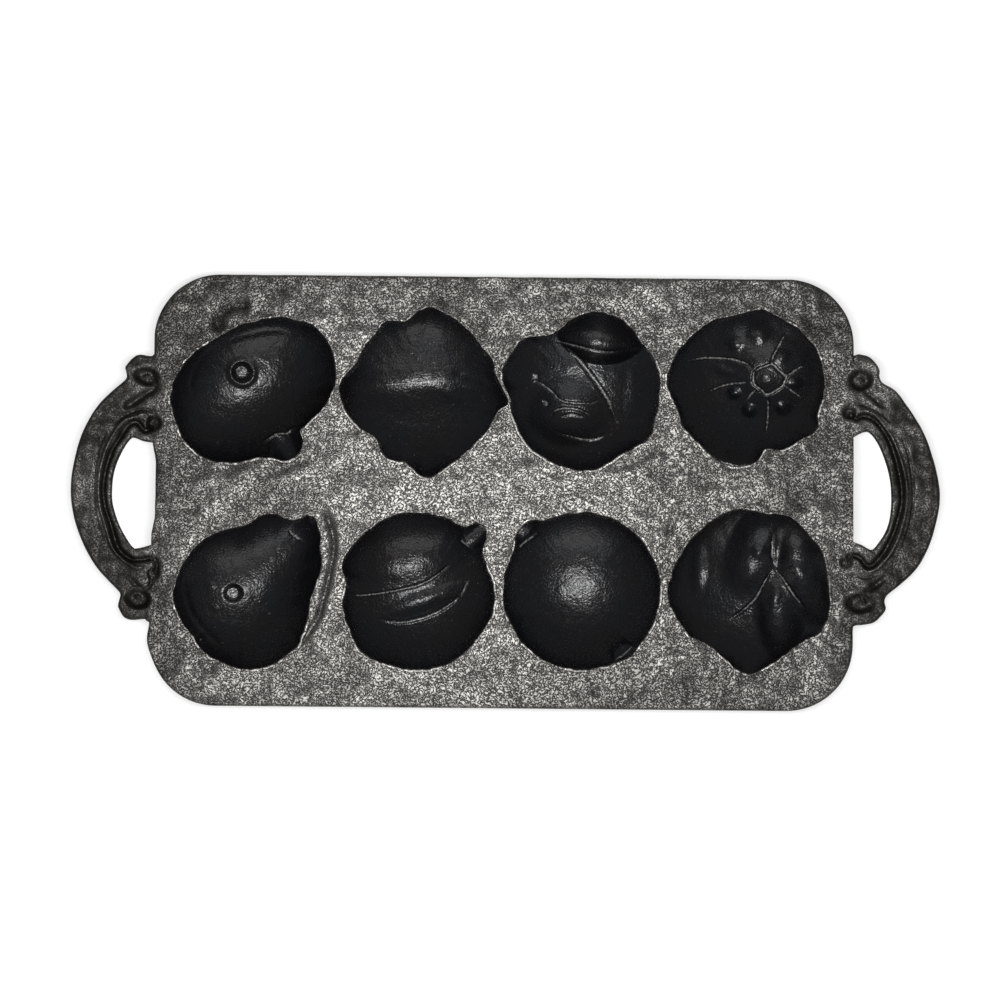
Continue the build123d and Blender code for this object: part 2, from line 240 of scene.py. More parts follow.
pepper = Cup(
    "pepper_hollow",
    "pepper_cup",
    (108.2, -42.6),
    "3,34.9 16,35.4 30,36.3 43,35.7 54,37.0 63,37.0 78,34.4 96,36.0 110,35.2 130,33.8 151,33.5 168,34.3 "
    "182,35.3 189,34.8 202,33.3 218,31.9 236,29.4 254,31.8 262,34.5 270,35.9 285,33.9 299,31.8 317,31.8 "
    "327,35.0 334,36.3 348,36.2",
    (
        (
            1.8,
            (
                Lobe(0, 0.5, 34, 33.5, 0, 15.8),
                Lobe(3, 13.5, 15.5, 23.5, -24, 20.6),
                Lobe(22, 10, 13.5, 25, 12, 19.4),
                Lobe(13, -5, 13, 24, 0, 19.6),
            ),
        ),
    ),
    (
        Line("11.3,26.6 11.4,18.8 11.9,11.5", 0.61, 0.72),
        Line("11.9,11.5 8.4,5.4 4.4,-2 -1.6,-8 -7.7,-12.1", 0.61, 1.01),
        Line("11.9,11.5 17.2,4.9 21.2,-1.2 26,-7.3", 0.61, 1.01),
        Line("28.5,18.4 31.7,6.5 29.8,-5.4", 1.6, 0.5),
    ),
    (
        Dish(-21.7, 11, 5, 16, 0, -1.6, 1.0),
        Dish(6, 18.5, 4.5, 4.5, 0, -1.2, 1.0),
        Dish(-3, 25.1, 4, 2.5, 150, 0.7, 1.0),
        Dish(1.4, 7, 6, 4, 50, -0.4, 1.0),
        Dish(12.9, -2.1, 3.5, 9, -10, -0.6, 1.0),
        Dish(23, 10.2, 4, 8, 35, -0.7, 1.0),
    ),
)
cups = (orange, acorn_squash, cabbage, pumpkin, pear, melon, apple, pepper)


def pairs(text):
    """The rows of two numbers that a line of text holds."""
    return np.array([[float(number) for number in pair.split(",")] for pair in text.split()])


def smooth_step(value):
    """Rises from 0 to 1 with the value, level at both ends: 3 v^2 - 2 v^3."""
    value = np.clip(value, 0, 1)
    return value * value * (3 - 2 * value)


def spline(points, count):
    """Smooth open line through the points: on each run, the cubic whose slope at a point is half the
    step between that point's neighbours."""
    ends = np.vstack([2 * points[0] - points[1], points, 2 * points[-1] - points[-2]])
    place = np.linspace(0, len(points) - 1, count)
    run = np.minimum(place.astype(int), len(points) - 2)
    f = (place - run)[:, None]
    a, b, c, d = ends[run], ends[run + 1], ends[run + 2], ends[run + 3]
    bend = f**2 * (2 * a - 5 * b + 4 * c - d) + f**3 * (3 * b - a - 3 * c + d)
    return b + f * (c - a) / 2 + bend / 2


def polar_curve(turns, radii, angles):
    """Smooth closed outline: its radius at the angles, by the cubic through the given turns and radii
    whose slope at a point is that of the chord between its neighbours."""
    turns = np.concatenate([turns[-2:] - 2 * np.pi, turns, turns[:3] + 2 * np.pi])
    radii = np.concatenate([radii[-2:], radii, radii[:3]])
    slopes = np.zeros(len(turns))
    slopes[1:-1] = (radii[2:] - radii[:-2]) / (turns[2:] - turns[:-2])
    angles = np.mod(angles, 2 * np.pi)
    run = np.searchsorted(turns, angles, side="right") - 1
    step = turns[run + 1] - turns[run]
    f = (angles - turns[run]) / step
    start = (1 + 2 * f) * (1 - f) ** 2 * radii[run] + f * (1 - f) ** 2 * step * slopes[run]
    return start + f**2 * (3 - 2 * f) * radii[run + 1] - f**2 * (1 - f) * step * slopes[run + 1]


def lines_height(x, y, lines):
    """Height at x, y of the lines drawn on the iron: each is a bell curve of the distance from it, as high
    as its rise, and fades out over its taper, a share of its length, at each end. A line with a run is the
    edge of a fold: on its left it sinks back more slowly, over the run."""
    total = np.zeros(np.shape(x))
    for line in lines:
        points = pairs(line.points)
        path = spline(points, 6 * len(points))
        margin = 3 * max(line.half_width, line.run)
        near = (x > path[:, 0].min() - margin) & (x < path[:, 0].max() + margin)
        near &= (y > path[:, 1].min() - margin) & (y < path[:, 1].max() + margin)
        step = np.diff(path, axis=0)
        from_x = x[near][:, None] - path[:-1, 0]
        from_y = y[near][:, None] - path[:-1, 1]
        along = np.clip((from_x * step[:, 0] + from_y * step[:, 1]) / (step**2).sum(1), 0, 1)
        gap = (from_x - along * step[:, 0]) ** 2 + (from_y - along * step[:, 1]) ** 2
        nearest = gap.argmin(1)[:, None]
        share = (nearest + np.take_along_axis(along, nearest, 1))[:, 0] / len(step)
        gap = np.take_along_axis(gap, nearest, 1)[:, 0]
        ends = smooth_step(np.minimum(share, 1 - share) / line.taper + 0.1)
        turn = step[nearest[:, 0]]
        left = turn[:, 0] * np.take_along_axis(from_y, nearest, 1)[:, 0]
        left -= turn[:, 1] * np.take_along_axis(from_x, nearest, 1)[:, 0]
        width = np.where((left > 0) & (line.run > 0), line.run, line.half_width)
        total[near] += line.rise * np.exp(-gap / width**2) * ends
    return total


def in_oval(x, y, oval, grow=0.0):
    """Place of x, y along and across a turned oval, counted in its half sizes, each grown a little."""
    turn = np.radians(oval.turn)
    along = (x - oval.x) * np.cos(turn) + (y - oval.y) * np.sin(turn)
    across = (y - oval.y) * np.cos(turn) - (x - oval.x) * np.sin(turn)
    return along / (oval.half_length + grow), across / (oval.half_width + grow)


def dishes_height(x, y, dishes):
    """Height at x, y of round and oval dishes or buttons: level in the middle, falling smoothly to nothing
    over the edge, a share of the half sizes."""
    total = np.zeros(np.shape(x))
    for dish in dishes:
        total += dish.rise * smooth_step((1 - np.hypot(*in_oval(x, y, dish))) / dish.edge)
    return total


def swell(x, y, wavelength, seed):
    """Slow unevenness of about one unit: the sum of plane waves in seeded directions and phases, with
    lengths spread round the given one."""
    random = np.random.default_rng(seed)
    waves = random.uniform(0, 1, (18, 3))
    total = np.zeros(np.shape(x))
    for turn, phase, length in waves:
        rate = 2 * np.pi / (wavelength * (0.7 + 0.8 * length))
        along = x * np.cos(2 * np.pi * turn) + y * np.sin(2 * np.pi * turn)
        total += np.sin(rate * along + 2 * np.pi * phase)
    return total / 3


def uneven(x, y, waves):
    """The sum of the swells whose heights, wavelengths and seeds are given."""
    return sum(height * swell(x, y, wavelength, seed) for height, wavelength, seed in waves)


def deck_swell(x, y):
    """Height of the deck with the unevenness that the sand mould left."""
    return deck_level + uneven(x, y, deck_waves)


def deepest(depths, softness):
    """The largest of the depths, with the corner where two are equal rounded over the softness."""
    top = depths.max(0)
    return top + softness * np.log(np.exp((depths - top) / softness).sum(0))


def fruit_depth(x, y, forms, grow, lowest_softness):
    """Depth below the rim of a fruit grown all round. Each lobe is (depth + lift) * sqrt(1 - rho^2) - lift,
    where rho is the distance from its middle counted in its half sizes. The lobes of one form flow
    together, and forms meet in a crease."""
    meeting = []
    for softness, lobes in forms:
        depths = []
        for lobe in lobes:
            u, v = in_oval(x, y, lobe, grow)
            inside = 1 - u * u - v * v
            root = np.sign(inside) * np.sqrt(np.abs(inside))
            depths.append((lobe.depth + draft_lift + grow) * root - draft_lift)
        meeting.append(deepest(np.array(depths), max(softness, lowest_softness)))
    return deepest(np.array(meeting), max(crease_round, lowest_softness))


def edge_radius(angles, forms, grow, level, softness):
    """Distance from a cup's middle, along each angle, to the last place where the fruit is deeper than the
    level, between two steps by proportion."""
    reach = np.linspace(4, 62, 460)
    x, y = np.cos(angles)[:, None] * reach, np.sin(angles)[:, None] * reach
    depth = fruit_depth(x, y, forms, grow, softness)
    over = depth > level
    last = np.minimum(over.shape[1] - 1 - over[:, ::-1].argmax(1), len(reach) - 2)
    here = np.take_along_axis(depth, last[:, None], 1)[:, 0]
    after = np.take_along_axis(depth, last[:, None] + 1, 1)[:, 0]
    share = np.clip((here - level) / (here - after), 0, 1)
    return reach[last] + share * (reach[1] - reach[0])


def stretch(corners, step):
    """Points every step or so along the line through the corners, both ends among them."""
    corners = np.asarray(corners, float)
    way = np.concatenate([[0], np.cumsum(np.hypot(*np.diff(corners, axis=0).T))])
    places = np.linspace(0, way[-1], int(np.ceil(way[-1] / step)) + 1)
    points = np.stack([np.interp(places, way, corners[:, 0]), np.interp(places, way, corners[:, 1])], 1)
    points[0], points[-1] = corners[0], corners[-1]
    return points


# The deck is divided into eight cells, one round each cup. Their lines run in the narrow webs.
plate_half_length = 154.0
plate_half_width = 95.0
plate_corner = 29.0
edge_round = 1.2
cell_step = 1.0
end_x = plate_half_length - edge_round
side_y = plate_half_width - edge_round
middle_y = -0.5
corner_round = plate_corner - edge_round


def corner(sign_x, sign_y, start):
    """Quarter circle at a corner of the deck, anticlockwise from the start, in quarter turns."""
    turn = (start + np.linspace(0, 1, 21)) * np.pi / 2
    x = sign_x * (end_x - corner_round) + corner_round * np.cos(turn)
    y = sign_y * (side_y - corner_round) + corner_round * np.sin(turn)
    return list(zip(x, y))


web_a = stretch([(-73.1, side_y), (-73.1, 45.0), (-73.8, middle_y)], cell_step)
web_b = stretch([(0, side_y), (-1.4, 60), (-3, 52), (2.85, 40.2), (0.8, 30), (0, middle_y)], cell_step)
web_c = stretch([(70.4, side_y), (70.4, 48), (70.8, middle_y)], cell_step)
web_d = stretch([(-73.8, middle_y), (-74.5, -40), (-74.5, -side_y)], cell_step)
web_e = stretch([(0, middle_y), (-1.4, -42), (-1.4, -side_y)], cell_step)
web_f = stretch([(70.8, middle_y), (71.2, -43), (71.2, -side_y)], cell_step)
middle_a = stretch([(-end_x, middle_y), (-73.8, middle_y)], cell_step)
middle_b = stretch([(-73.8, middle_y), (0, middle_y)], cell_step)
middle_c = stretch([(0, middle_y), (70.8, middle_y)], cell_step)
middle_d = stretch([(70.8, middle_y), (end_x, middle_y)], cell_step)
rim_parts = {
    "pumpkin_hollow": stretch([(end_x, middle_y), *corner(1, 1, 0), (70.4, side_y)], cell_step),
    "cabbage_hollow": stretch([(70.4, side_y), (0, side_y)], cell_step),
    "acorn_squash_hollow": stretch([(0, side_y), (-73.1, side_y)], cell_step),
    "orange_hollow": stretch([(-73.1, side_y), *corner(-1, 1, 1), (-end_x, middle_y)], cell_step),
    "pear_hollow": stretch([(-end_x, middle_y), *corner(-1, -1, 2), (-74.5, -side_y)], cell_step),
    "melon_hollow": stretch([(-74.5, -side_y), (-1.4, -side_y)], cell_step),
    "apple_hollow": stretch([(-1.4, -side_y), (71.2, -side_y)], cell_step),
    "pepper_hollow": stretch([(71.2, -side_y), *corner(1, -1, 3), (end_x, middle_y)], cell_step),
}
cell_parts = {
    "pumpkin_hollow": (web_c, middle_d),
    "cabbage_hollow": (web_b, middle_c, web_c[::-1]),
    "acorn_squash_hollow": (web_a, middle_b, web_b[::-1]),
    "orange_hollow": (middle_a, web_a[::-1]),
    "pear_hollow": (web_d[::-1], middle_a[::-1]),
    "melon_hollow": (web_e[::-1], middle_b[::-1], web_d),
    "apple_hollow": (web_f[::-1], middle_c[::-1], web_e),
    "pepper_hollow": (middle_d[::-1], web_f),
}


def cell_loop(cup):
    """The closed line round a cup's cell, anticlockwise."""
    return np.vstack([part[:-1] for part in (rim_parts[cup.name], *cell_parts[cup.name])])


def cell_radius(cup, angles):
    """Distance from a cup's middle, along each angle, to the line round its cell."""
    loop = cell_loop(cup) - cup.centre
    turns = np.mod(np.arctan2(loop[:, 1], loop[:, 0]), 2 * np.pi)
    order = turns.argsort()
    radii = np.hypot(loop[:, 0], loop[:, 1])
    return np.interp(angles, turns[order], radii[order], period=2 * np.pi)


def mouth_radius(cup, angles):
    """Distance from a cup's middle, along each angle, to the inside of its lip, which keeps its distance
    from the middle of the web beside it."""
    turns, radii = pairs(cup.outline).T
    free = polar_curve(np.radians(turns), radii, angles)
    x, y = cup.centre[0] + free * np.cos(angles), cup.centre[1] + free * np.sin(angles)
    return np.minimum(free + uneven(x, y, mouth_waves), cell_radius(cup, angles) - web_half)


def new_piece(name, points, starts, corners, attributes=None):
    """A smooth mesh object from points in millimetres, the first corner of each face, and the corners."""
    mesh = bpy.data.meshes.new(name)
    mesh.vertices.add(len(points))
    mesh.vertices.foreach_set("co", (np.asarray(points) * millimetre).astype(np.float32).ravel())
    mesh.loops.add(len(corners))
    mesh.loops.foreach_set("vertex_index", corners.astype(np.int32))
    mesh.polygons.add(len(starts))
    mesh.polygons.foreach_set("loop_start", starts.astype(np.int32))
    mesh.polygons.foreach_set("use_smooth", np.ones(len(starts), bool))
    for label, values in (attributes or {}).items():
        mesh.attributes.new(label, "FLOAT", "POINT").data.foreach_set("value", values.astype(np.float32))
    mesh.update(calc_edges=True)
    mesh.validate()
    piece = bpy.data.objects.new(name, mesh)
    bpy.context.scene.collection.objects.link(piece)
    return piece


def quad_grid(rings, spokes, closed):
    """Corners of the quads between rings of points: out one ring, then on by one spoke."""
    ring = np.arange(rings - 1)[:, None] * spokes
    last = spokes if closed else spokes - 1
    here = np.arange(last)
    after = (here + 1) % spokes
    quads = np.stack([ring + here, ring + spokes + here, ring + spokes + after, ring + after], -1)
    return quads.reshape(-1, 4)


def ring_shares(count):
    """Where the rings lie between a cup's middle and its edge: closer together at the edge, by half the
    share itself and half its sine."""
    t = np.linspace(0, 1, count + 1)[:, None]
    return 0.5 * np.sin(np.pi * t / 2) + 0.5 * t


def hollow(cup, angles, mouth):
    """Radius, height, and wear and painted highlight, of the points inside a cup. A point at the share rho of
    the mouth's radius takes the fruit's depth at a radius that is warped by 1 + (edge / mouth - 1) * rho^6,
    so the edge of a fruit smaller than the mouth lies on the mouth. A larger one is cut off by it. The lines
    and dishes are added, and fade out by 1 - rho^8. What stands up is painted lighter, partly as wear and
    partly as a painted highlight: the crests of the thin lines, and buttons."""
    across, up = np.cos(angles), np.sin(angles)
    edge = edge_radius(angles, cup.forms, 0, 0, 0.0)
    rho = ring_shares(cup_rings)
    radius = rho * mouth
    warped = radius * (1 + (np.clip(edge / mouth, 0.8, 1.0) - 1) * rho**6)
    depth = fruit_depth(warped * across, warped * up, cup.forms, 0, 0.0)
    x, y = radius * across, radius * up
    buttons = dishes_height(x, y, cup.dishes)
    relief = lines_height(x, y, cup.lines) + buttons + uneven(x, y, hollow_waves)
    lip_z = deck_swell(cup.centre[0] + mouth * across, cup.centre[1] + mouth * up) - lip_drop
    z = rim_z + (lip_z - rim_z) * rho**4 - depth + relief * (1 - rho**8)
    thin = [line for line in cup.lines if line.half_width < 1.25]
    crests = [line._replace(rise=1, taper=min(0.4, 1.6 * line.taper)) for line in thin]
    # Partly wear, partly painted highlight: the crests of the thin lines and the tops of buttons are painted
    # lighter.
    wear_and_highlight = np.clip(lines_height(x, y, crests), 0, 1) + 0.27 * np.clip(buttons, 0, 3)
    return radius, z, wear_and_highlight


def cup_shell(cup):
    """A closed shell round the cup's middle, as rings of points: the hollow, the lip, the collar that
    passes through the plate, the fillet, the belly and the ground flat that it stands on. The belly is the
    fruit grown by the wall. The lip is highest at the front of the mouth, and painted lighter there, partly
    as wear and partly as a painted highlight."""
    angles = np.arange(cup_spokes) * 2 * np.pi / cup_spokes
    across, up = np.cos(angles), np.sin(angles)
    mouth = mouth_radius(cup, angles)
    cell = cell_radius(cup, angles) - cell_gap
    radius, z, wear_and_highlight_inside = hollow(cup, angles, mouth)
    radii, heights = [radius], [z]
    lip_x, lip_y = cup.centre[0] + mouth * across, cup.centre[1] + mouth * up
    lip_height = lip_mean - lip_lean * up + uneven(lip_x, lip_y, lip_waves)
    for out, rise in zip(lip_out, lip_rise):
        reach = np.minimum(mouth + out, cell)
        level = deck_swell(cup.centre[0] + reach * across, cup.centre[1] + reach * up)
        radii.append(reach[None])
        heights.append((level + np.where(rise > 0, rise * lip_height, rise))[None])
    radii.append(np.minimum(mouth + lip_out[-1], cell)[None])
    heights.append(np.full((1, cup_spokes), belly_top))
    for out, drop in zip(fillet_out, fillet_drop):
        ring = edge_radius(angles, cup.forms, wall, rim_z - belly_top + drop, outside_round) + out
        radii.append(np.minimum(ring, cell)[None])
        heights.append(np.full((1, cup_spokes), belly_top - drop))
    belly = ring_shares(belly_rings)[::-1] * radii[-1]
    below = rim_z - fruit_depth(belly * across, belly * up, cup.forms, wall, outside_round)
    radii.append(belly)
    heights.append(np.clip(below, 0.0, belly_top - fillet_drop[-1]))
    radius, z = np.vstack(radii), np.vstack(heights)

    inside = cup_rings + 1
    film = np.zeros(z.shape)
    film[:inside] = 1 - 0.5 * smooth_step((ring_shares(cup_rings) - 0.96) / 0.04)
    film[inside : inside + len(lip_film)] = np.array(lip_film)[:, None]
    wear_and_highlight = np.zeros(z.shape)
    wear_and_highlight[:inside] = wear_and_highlight_inside
    # Partly wear, partly painted highlight: the lip's crest is painted lighter where it stands highest, at
    # the front of the mouth.
    wear_and_highlight[inside + 1 : inside + 4] = 1.3 * smooth_step(lip_height - 0.9)

    x, y = cup.centre[0] + radius * across, cup.centre[1] + radius * up
    points = np.stack([x, y, z], -1)[1:-1].reshape(-1, 3)
    top_pole, low_pole = len(points), len(points) + 1
    points = np.vstack([points, (*cup.centre, z[0].mean()), (*cup.centre, z[-1].mean())])
    quads = quad_grid(len(z) - 2, cup_spokes, True)
    here = np.arange(cup_spokes)
    after = (here + 1) % cup_spokes
    last = (len(z) - 3) * cup_spokes
    top_fan = np.stack([np.full(cup_spokes, top_pole), here, after], 1)
    low_fan = np.stack([last + here, np.full(cup_spokes, low_pole), last + after], 1)
    corners = np.concatenate([quads.ravel(), top_fan.ravel(), low_fan.ravel()])
    starts = np.concatenate([4 * np.arange(len(quads)), 4 * len(quads) + 3 * np.arange(2 * cup_spokes)])
    attributes = {
        "seasoned": np.concatenate([film[1:-1].ravel(), [1, 0]]),
        "wear_and_highlight": np.concatenate([wear_and_highlight[1:-1].ravel(), [wear_and_highlight[0].mean(), 0]]),
    }
    return new_piece(cup.name, points, starts, corners, attributes)


def linear(code):
    """An sRGB hex colour as the linear values that a shader takes."""
    values = np.array([int(code[i : i + 2], 16) for i in (0, 2, 4)]) / 255
    values = np.where(values <= 0.04045, values / 12.92, ((values + 0.055) / 1.055) ** 2.4)
    return (*values, 1.0)


def cleared(block):
    """The node tree of a material or a world, switched on and emptied."""
    block.use_nodes = True
    block.node_tree.nodes.clear()
    return block.node_tree


def add_node(tree, kind, output=None, inputs=None, **settings):
    """A node of the kind with its settings, and each input set to a value or linked from a socket. Gives
    the named output, or the node itself where none is named."""
    node = tree.nodes.new(kind)
    for key, value in settings.items():
        setattr(node, key, value)
    for key, value in (inputs or {}).items():
        if isinstance(value, bpy.types.NodeSocket):
            tree.links.new(value, node.inputs[key])
        else:
            node.inputs[key].default_value = value
    return node if output is None else node.outputs[output]


# Bare cast iron: its skin copies the sand of the mould, so it is a net of dark, winding cracks round
# little grains of worn, bright metal. It is darker out to the rim, partly where less has been worn off and
# partly as painted shade where the lamps' light falls off towards the ends. It is darkest on the handles,
# and in hollows, where that is painted shade; raised parts are painted lighter. The real grains are about
# 0.5 mm across, hardly a pixel, so the net is drawn more than twice as coarse. All that a material measures
# is in metres.
iron_black = linear("1E1D1C")
iron_grey = linear("727271")
iron_bright = linear("A3A19D")
iron_brown = linear("45403A")
crack_size = 0.0013
crack_depth = 0.0014
deck_brownness = 0.25
drift_size = 1 / 260
drift_reach = (0.002, 0.002, 0.0)
patch_size = 1 / 26
rim_reach = (1 / 0.15, 1 / 0.1, 0.0)
bright_middle = (0.05, 0.0, 0.0)
# Painted shade: below the deck's level the skin is darkened, above it lightened.
hollow_from, hollow_to = 0.02353, 0.02573
hollow_dark, hollow_bright = 0.62, -0.22
handle_from, handle_to = 0.144, 0.164
unworn_patches = 1.9
unworn_and_shade_from, unworn_and_shade_to = 1.4, 2.7
colour_a, colour_b, colour_out = 6, 7, 2  # the sockets of a Mix node that mixes colours
Skin = namedtuple("Skin", "place grains relief tone rough")


def iron_skin(tree, crack, brownness):
    """The nodes of the bare skin. The cracks lie where a noise passes its middle value, and the noise drifts
    where a slower one pushes it. The grains between them rise, and shine, with the distance from a crack.
    The darkness is the distance from the middle of the deck, in shares of the way to its rim, which is partly
    wear and partly painted shade, plus patches and what the handles add, plus painted shade in the hollows
    and painted light on raised parts."""
    place = add_node(tree, "ShaderNodeTexCoord", "Object")
    drift = add_node(
        tree, "ShaderNodeTexNoise", "Color", {"Vector": place, "Scale": 1 / drift_size, "Detail": 1.0}
    )
    pushed = add_node(
        tree, "ShaderNodeVectorMath", "Vector", {0: drift, 1: drift_reach, 2: place}, operation="MULTIPLY_ADD"
    )
    noise = add_node(
        tree, "ShaderNodeTexNoise", "Fac",
        {"Vector": pushed, "Scale": 1 / crack, "Detail": 2.0, "Roughness": 0.5}
    )
    off_middle = add_node(tree, "ShaderNodeMath", "Value", {0: noise, 1: 0.5}, operation="SUBTRACT")
    grains = add_node(tree, "ShaderNodeMath", "Value", {0: off_middle}, operation="ABSOLUTE")

    patches = add_node(
        tree, "ShaderNodeTexNoise", "Fac",
        {"Vector": place, "Scale": 1 / patch_size, "Detail": 5.0, "Roughness": 0.68}
    )
    # Partly painted shade, partly wear: darker out towards the rim and ends, where the lamps' light falls
    # off.
    to_rim = add_node(
        tree, "ShaderNodeVectorMath", "Vector",
        {0: place, 1: rim_reach, 2: bright_middle}, operation="MULTIPLY_ADD"
    )
    to_rim = add_node(tree, "ShaderNodeVectorMath", "Value", {0: to_rim}, operation="LENGTH")
    unworn_and_shade = add_node(
        tree, "ShaderNodeMath", "Value", {0: patches, 1: unworn_patches, 2: to_rim}, operation="MULTIPLY_ADD"
    )
    parts = add_node(tree, "ShaderNodeSeparateXYZ", None, {"Vector": place}).outputs
    from_middle = add_node(tree, "ShaderNodeMath", "Value", {0: parts["X"]}, operation="ABSOLUTE")
    on_handle = add_node(
        tree, "ShaderNodeMapRange", "Result",
        {"Value": from_middle, "From Min": handle_from, "From Max": handle_to, "To Max": 0.45}
    )
    unworn_and_shade = add_node(tree, "ShaderNodeMath", "Value", {0: unworn_and_shade, 1: on_handle})
    # Painted shade: below the deck's level, in hollows and under the cups, the skin is darkened, and parts
    # raised above it are painted lighter.
    painted_hollow_shade = add_node(
        tree,
        "ShaderNodeMapRange",
        "Result",
        {
            "Value": parts["Z"],
            "From Min": hollow_from,
            "From Max": hollow_to,
            "To Min": hollow_dark,
            "To Max": hollow_bright,
        },
    )
    unworn_and_shade = add_node(tree, "ShaderNodeMath", "Value", {0: unworn_and_shade, 1: painted_hollow_shade})
    # The skin is mixed towards black by this sum: partly wear and patches, partly painted shade.
    dark = add_node(
        tree, "ShaderNodeMapRange", "Result",
        {"Value": unworn_and_shade, "From Min": unworn_and_shade_from, "From Max": unworn_and_shade_to, "To Max": 0.85}
    )

    ramp = add_node(tree, "ShaderNodeValToRGB", None, {"Fac": grains})
    ramp.color_ramp.elements[0].position = 0.0
    ramp.color_ramp.elements[0].color = iron_black
    ramp.color_ramp.elements[1].position = 0.12
    ramp.color_ramp.elements[1].color = iron_bright
    ramp.color_ramp.elements.new(0.03).color = iron_grey
    brown = add_node(
        tree, "ShaderNodeMapRange", "Result",
        {"Value": patches, "From Min": 0.4, "From Max": 0.7, "To Max": brownness}
    )
    tone = add_node(
        tree, "ShaderNodeMix", colour_out,
        {"Factor": brown, colour_a: ramp.outputs["Color"], colour_b: iron_brown}, data_type="RGBA"
    )
    tone = add_node(
        tree, "ShaderNodeMix", colour_out,
        {"Factor": dark, colour_a: tone, colour_b: iron_black}, data_type="RGBA"
    )
    rough = add_node(
        tree, "ShaderNodeMapRange", "Result",
        {"Value": grains, "From Max": 0.15, "To Min": 0.6, "To Max": 0.45}
    )
    relief = add_node(
        tree, "ShaderNodeMapRange", "Result",
        {"Value": grains, "From Max": 0.075, "To Max": 0.06}, interpolation_type="SMOOTHSTEP"
    )
    relief = add_node(
        tree, "ShaderNodeMath", "Value", {0: grains, 1: 0.22, 2: relief}, operation="MULTIPLY_ADD"
    )
    return Skin(place, grains, relief, tone, rough)


# Seasoned cast iron: polymerised oil over worn iron. It is near black and faintly blue, with the gloss of
# a hard oil film that fine pits break into grains. Ridges and buttons are greyer, partly where they have been
# rubbed and partly as a painted highlight. The real pits are about 0.5 mm across, hardly a pixel, so they are
# drawn twice as coarse. At the lip the film ends in a ragged line, and the bare skin follows; the lip's crest
# is painted near white, partly as wear and partly as a painted highlight.
seasoned_black = linear("160E0D")
seasoned_blue = linear("0C141A")
# Grey and near white painted on ridges, buttons and the lip's crest: partly wear, partly painted highlight.
highlight_and_wear_grey = linear("9C9C99")
lip_highlight_and_wear = linear("E2E0DC")
pit_size = 0.001
pit_depth = 0.00022
cloud_size = 1 / 60
seasoned = bpy.data.materials.new("seasoned_cast_iron")
tree = cleared(seasoned)
skin = iron_skin(tree, crack_size, deck_brownness)
edge = add_node(tree, "ShaderNodeAttribute", "Fac", attribute_name="seasoned")
ragged = add_node(
    tree, "ShaderNodeMath", "Value", {0: skin.grains, 1: -3.0, 2: edge}, operation="MULTIPLY_ADD"
)
inside = add_node(
    tree, "ShaderNodeMapRange", "Result",
    {"Value": ragged, "From Min": -0.1, "From Max": 0.4}, interpolation_type="SMOOTHSTEP"
)
pits = add_node(
    tree, "ShaderNodeTexNoise", "Fac",
    {"Vector": skin.place, "Scale": 1 / pit_size, "Detail": 1.0, "Roughness": 0.5}
)
wear_and_highlight = add_node(tree, "ShaderNodeAttribute", "Fac", attribute_name="wear_and_highlight")
wear_and_highlight = add_node(tree, "ShaderNodeMath", "Value", {0: pits, 1: 1.6, 2: wear_and_highlight}, operation="MULTIPLY_ADD")
# Partly wear, partly painted highlight: where the mark is high, the film turns grey and the bare lip near
# white.
rubbed_and_highlight = add_node(
    tree, "ShaderNodeMapRange", "Result", {"Value": wear_and_highlight, "From Min": 1.35, "From Max": 2.05, "To Max": 0.85}
)
cloud = add_node(
    tree, "ShaderNodeTexNoise", "Fac", {"Vector": skin.place, "Scale": 1 / cloud_size, "Detail": 3.0}
)
film = add_node(
    tree, "ShaderNodeMix", colour_out,
    {"Factor": cloud, colour_a: seasoned_black, colour_b: seasoned_blue}, data_type="RGBA"
)
film = add_node(
    tree, "ShaderNodeMix", colour_out,
    {"Factor": rubbed_and_highlight, colour_a: film, colour_b: highlight_and_wear_grey}, data_type="RGBA"
)
bare = add_node(
    tree, "ShaderNodeMix", colour_out,
    {"Factor": rubbed_and_highlight, colour_a: skin.tone, colour_b: lip_highlight_and_wear}, data_type="RGBA"
)
tone = add_node(
    tree, "ShaderNodeMix", colour_out, {"Factor": inside, colour_a: bare, colour_b: film}, data_type="RGBA"
)
gloss = add_node(
    tree, "ShaderNodeMapRange", "Result",
    {"Value": pits, "From Min": 0.3, "From Max": 0.7, "To Min": 0.36, "To Max": 0.22}
)
rough = add_node(tree, "ShaderNodeMix", "Result", {"Factor": inside, "A": skin.rough, "B": gloss})
metal = add_node(tree, "ShaderNodeMapRange", "Result", {"Value": inside, "To Min": 1.0, "To Max": 0.1})
cracked = add_node(tree, "ShaderNodeMapRange", "Result", {"Value": inside, "To Min": 1.0, "To Max": 0.0})
relief = add_node(
    tree, "ShaderNodeBump", "Normal", {"Height": skin.relief, "Strength": cracked, "Distance": crack_depth}
)
relief = add_node(
    tree, "ShaderNodeBump", "Normal",
    {"Height": pits, "Strength": 0.9, "Distance": pit_depth, "Normal": relief}
)
shader = add_node(
    tree, "ShaderNodeBsdfPrincipled", "BSDF",
    {"Base Color": tone, "Roughness": rough, "Metallic": metal, "Normal": relief}
)
add_node(tree, "ShaderNodeOutputMaterial", None, {"Surface": shader})

for cup in cups:
    piece = cup_shell(cup)
    piece.data.materials.append(seasoned)
    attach(piece, "root")
    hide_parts(cup.node)


# Handles
# Each handle is an open loop cast in one with the plate, its top sunk with a scroll: a deep groove that
# ends in two hooks, a bead beside it, and a teardrop on each shoulder. Bare iron, as it left the sand.
handle_under = 19.0
handle_bevel = 1.4
handle_gap = 0.02
scroll_from = 143.0
loop_x = 130.0
handle_spokes = 330
handle_across = 60
Handle = namedtuple("Handle", "name node side outer window lines dishes")

